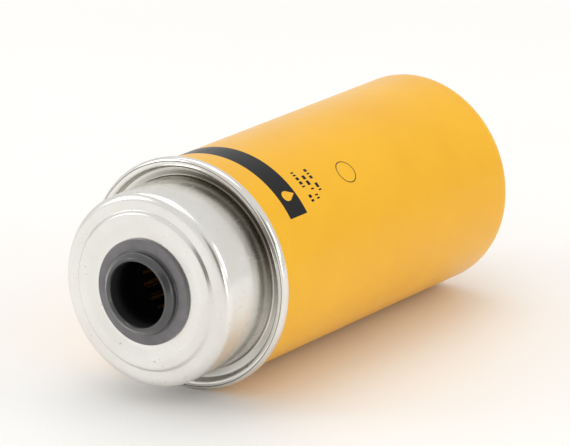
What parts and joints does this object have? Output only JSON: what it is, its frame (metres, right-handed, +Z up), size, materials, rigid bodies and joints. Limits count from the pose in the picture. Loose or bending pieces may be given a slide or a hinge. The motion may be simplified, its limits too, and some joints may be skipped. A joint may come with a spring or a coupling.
{
  "type": "fuel filter cartridge",
  "caption": "Quick-release fuel filter cartridge: yellow steel can, stepped neck with a grommet, rolled seam, two filter stages inside and a screw drain in the closed end.",
  "frame": {"origin": "on the surface it lies on, below the middle of its length", "axes": "+Y along the cartridge's axis from the neck to the drain, +Z up, +X to the right seen from the neck"},
  "size_m": [0.0866, 0.207, 0.0866],
  "materials": {
    "can_paint": "gloss baked enamel",
    "tinplate": "bright satin tinplate",
    "seam_lining": "dull",
    "grommet_rubber": "smooth moulded",
    "plate_steel": "satin",
    "spring_steel": "drawn wire",
    "potting_adhesive": "cast",
    "filter_paper": "resin treated crepe paper",
    "treated_paper": "silicone treated paper",
    "moulded_tube": "moulded",
    "woven_screen": "fine woven",
    "brass": "machined",
    "stem_brass": "machined",
    "seal_rubber": "moulded",
    "knob_plastic": "moulded"
  },
  "bodies": {
    "cartridge": {"can_body": "can_paint", "neck_cap": "tinplate", "seam_compound": "seam_lining", "neck_grommet": "grommet_rubber", "inner_grommet": "grommet_rubber", "upper_end_plate": "plate_steel", "lower_end_plate": "plate_steel", "spring_cup": "plate_steel", "stack_spring": "spring_steel", "upper_potting": "potting_adhesive", "primary_lower_potting": "potting_adhesive", "secondary_upper_potting": "potting_adhesive", "secondary_lower_potting": "potting_adhesive", "pleat_bands": "potting_adhesive", "primary_media": "filter_paper", "secondary_media": "treated_paper", "centre_tube": "moulded_tube", "screen_cage": "moulded_tube", "stage_plate": "moulded_tube", "water_screen": "woven_screen", "drain_insert": "brass", "drain_nut": "brass", "drain_gasket": "seal_rubber"},
    "drain_carriage": {"drain_oring": "seal_rubber"},
    "drain_valve": {"drain_stem": "stem_brass", "drain_tip_seal": "seal_rubber", "drain_knob": "knob_plastic"}
  },
  "joints": [
    {"name": "drain_travel", "type": "slide", "parent": "cartridge", "child": "drain_carriage", "axis": [0, 1, 0], "range_m": [0, 0.003]},
    {"name": "drain_turn", "type": "hinge", "parent": "drain_carriage", "child": "drain_valve", "pos_m": [0, 0.08845, 0.0433], "axis": [0, 1, 0], "range_deg": [0, 720]}
  ],
  "couplings": [
    {"joint": "drain_turn", "follows": "drain_travel", "rad_per_m": 4188.8}
  ]
}
